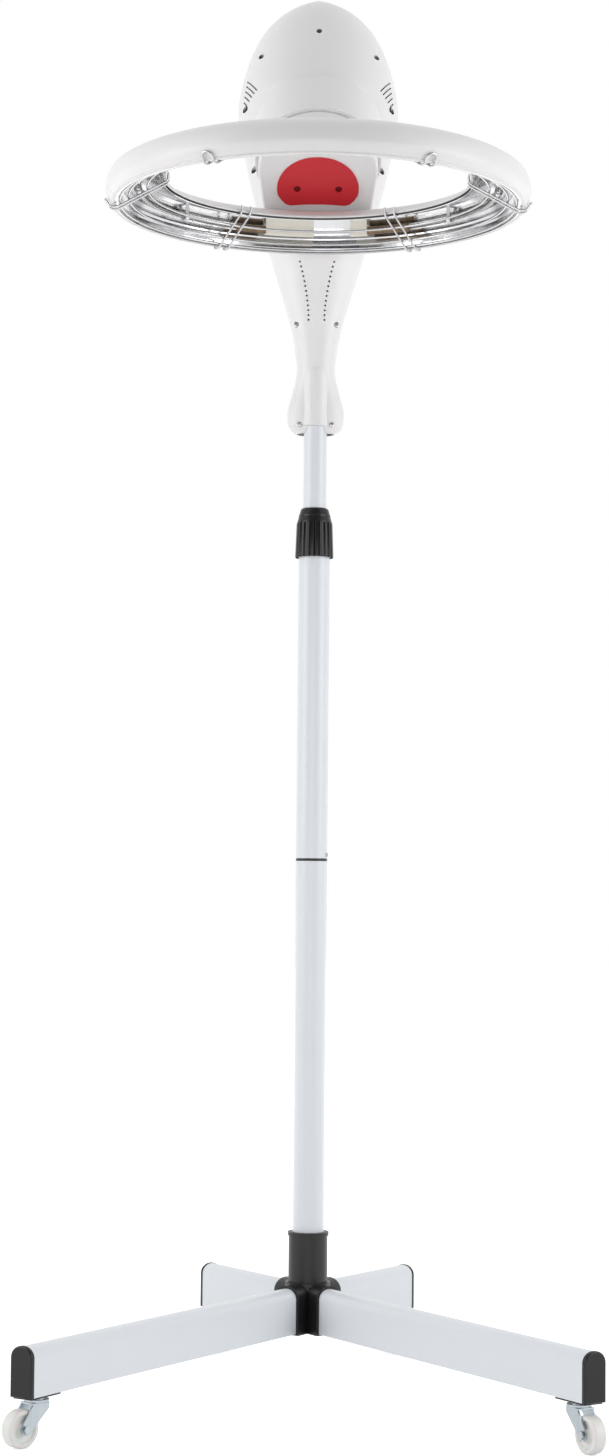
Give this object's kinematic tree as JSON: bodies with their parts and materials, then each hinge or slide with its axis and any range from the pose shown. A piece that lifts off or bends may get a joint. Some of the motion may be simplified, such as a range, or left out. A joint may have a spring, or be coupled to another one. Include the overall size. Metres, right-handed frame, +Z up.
{
  "type": "orbiting infrared hair processor",
  "caption": "Infrared hair processor whose heating ring orbits the head from a slanted turret, on a telescopic post with a crossed base on casters.",
  "frame": {"origin": "on the floor, on the axis of the post", "axes": "+Z up along the post, -Y to the front where the ring hangs, +X to the right seen from the front"},
  "size_m": [0.5752, 0.6695, 1.5385],
  "materials": {
    "white_shell": "satin moulded plastic, warm white",
    "white_paint": "smooth white powder coat",
    "black_plastic": "fine grained moulded plastic",
    "nylon": "milky nylon",
    "zinc_steel": "bright zinc plated pressed steel",
    "steel": "machined steel",
    "cast_aluminium": "die cast",
    "gear_plastic": "acetal",
    "facia_grey": "satin facia",
    "display_glass": "tinted window",
    "board_green": "lacquered board",
    "key_white": "satin keys",
    "rocker_red": "glossy",
    "sensor_red": "glossy red filter",
    "sensor_dark": "dark lens",
    "polished_aluminium": "mirror polished",
    "quartz": "clear quartz",
    "coil_wire": "resistance wire, dark",
    "end_cap_metal": "heat stained metal sleeve",
    "ceramic": "fired ceramic, cream",
    "guard_chrome": "bright plated wire"
  },
  "bodies": {
    "base": {"base_hub": "black_plastic", "front_left_leg": "white_paint", "front_right_leg": "white_paint", "rear_left_leg": "white_paint", "rear_right_leg": "white_paint", "leg_end_caps": "black_plastic", "leg_screws": "steel", "caster_stems": "zinc_steel", "lower_post": "white_paint", "middle_post": "white_paint", "post_coupler": "black_plastic", "coupler_screw": "steel", "post_base_bolt": "steel", "lock_collar": "cast_aluminium", "clamp_collet": "nylon"},
    "caster_front_left": {"caster_fork_front_left": "zinc_steel"},
    "wheel_front_left": {"caster_wheel_front_left": "nylon"},
    "caster_front_right": {"caster_fork_front_right": "zinc_steel"},
    "wheel_front_right": {"caster_wheel_front_right": "nylon"},
    "caster_rear_left": {"caster_fork_rear_left": "zinc_steel"},
    "wheel_rear_left": {"caster_wheel_rear_left": "nylon"},
    "caster_rear_right": {"caster_fork_rear_right": "zinc_steel"},
    "wheel_rear_right": {"caster_wheel_rear_right": "nylon"},
    "clamp": {"clamp_knob": "black_plastic"},
    "lift": {"glide_bush": "black_plastic"},
    "mast": {"mast_tube": "white_paint", "front_shell": "white_shell", "rear_shell": "white_shell", "shell_screws": "steel", "head_frame": "cast_aluminium", "turret_bearings": "steel", "drive_motor": "steel", "control_board": "board_green", "board_screws": "steel", "panel_bezel": "black_plastic", "panel_facia": "facia_grey", "display_window": "display_glass", "power_inlet": "black_plastic", "inlet_pins": "steel", "switch_housing": "black_plastic"},
    "orbit": {"turret_arm": "white_shell", "arm_cover": "white_shell", "sensor_window": "sensor_red", "heat_sensors": "sensor_dark", "turret_shaft": "steel", "orbit_gear": "gear_plastic", "ring_shell": "white_shell", "reflector": "polished_aluminium", "heater_tubes": "quartz", "heater_coils": "coil_wire", "heater_end_caps": "end_cap_metal", "ceramic_blocks": "ceramic", "heater_clips": "steel", "guard_hairpins": "guard_chrome", "guard_rings": "guard_chrome"},
    "pinion": {"drive_pinion": "gear_plastic"},
    "less_key": {"less_key": "key_white"},
    "start_key": {"start_key": "key_white"},
    "more_key": {"more_key": "key_white"},
    "rocker": {"switch_rocker": "rocker_red"}
  },
  "joints": [
    {"name": "front_left_caster_swivel", "type": "hinge", "parent": "base", "child": "caster_front_left", "pos_m": [-0.26005, -0.4082, 0.0421], "axis": [0, 0, 1], "continuous": true},
    {"name": "front_left_wheel_roll", "type": "hinge", "parent": "caster_front_left", "child": "wheel_front_left", "pos_m": [-0.2742, -0.42234, 0.0185], "axis": [0.7071, -0.7071, 0], "continuous": true},
    {"name": "front_right_caster_swivel", "type": "hinge", "parent": "base", "child": "caster_front_right", "pos_m": [0.26005, -0.4082, 0.0421], "axis": [0, 0, 1], "continuous": true},
    {"name": "front_right_wheel_roll", "type": "hinge", "parent": "caster_front_right", "child": "wheel_front_right", "pos_m": [0.26944, -0.42586, 0.0185], "axis": [0.8829, 0.4695, 0], "continuous": true},
    {"name": "rear_left_caster_swivel", "type": "hinge", "parent": "base", "child": "caster_rear_left", "pos_m": [-0.09969, 0.14505, 0.0421], "axis": [0, 0, 1], "continuous": true},
    {"name": "rear_left_wheel_roll", "type": "hinge", "parent": "caster_rear_left", "child": "wheel_rear_left", "pos_m": [-0.10969, 0.12773, 0.0185], "axis": [0.866, -0.5, 0], "continuous": true},
    {"name": "rear_right_caster_swivel", "type": "hinge", "parent": "base", "child": "caster_rear_right", "pos_m": [0.09969, 0.14505, 0.0421], "axis": [0, 0, 1], "continuous": true},
    {"name": "rear_right_wheel_roll", "type": "hinge", "parent": "caster_rear_right", "child": "wheel_rear_right", "pos_m": [0.10653, 0.12625, 0.0185], "axis": [0.9397, 0.342, 0], "continuous": true},
    {"name": "clamp_turn", "type": "hinge", "parent": "base", "child": "clamp", "pos_m": [0, 0, 0.93], "axis": [0, 0, 1], "range_deg": [0, 120]},
    {"name": "height", "type": "slide", "parent": "base", "child": "lift", "axis": [0, 0, 1], "range_m": [-0.07, 0.18]},
    {"name": "head_turn", "type": "hinge", "parent": "lift", "child": "mast", "pos_m": [0, 0, 0.7], "axis": [0, 0, 1], "continuous": true},
    {"name": "ring_orbit", "type": "hinge", "parent": "mast", "child": "orbit", "pos_m": [0, -0.113, 1.325], "axis": [0, -0.6691, -0.7431], "continuous": true},
    {"name": "pinion_spin", "type": "hinge", "parent": "mast", "child": "pinion", "pos_m": [0.0421, -0.113, 1.325], "axis": [0, -0.6691, -0.7431], "continuous": true},
    {"name": "less_key_press", "type": "slide", "parent": "mast", "child": "less_key", "axis": [0, -1, 0], "range_m": [0, 0.0008], "stiffness_N_per_m": 800, "springref_m": -0.0005},
    {"name": "start_key_press", "type": "slide", "parent": "mast", "child": "start_key", "axis": [0, -1, 0], "range_m": [0, 0.0008], "stiffness_N_per_m": 800, "springref_m": -0.0005},
    {"name": "more_key_press", "type": "slide", "parent": "mast", "child": "more_key", "axis": [0, -1, 0], "range_m": [0, 0.0008], "stiffness_N_per_m": 800, "springref_m": -0.0005},
    {"name": "power_rocker", "type": "hinge", "parent": "mast", "child": "rocker", "pos_m": [0, 0.052, 1.231], "axis": [1, 0, 0], "range_deg": [0, 14]}
  ],
  "couplings": [
    {"joint": "pinion_spin", "follows": "ring_orbit", "ratio": -3}
  ]
}
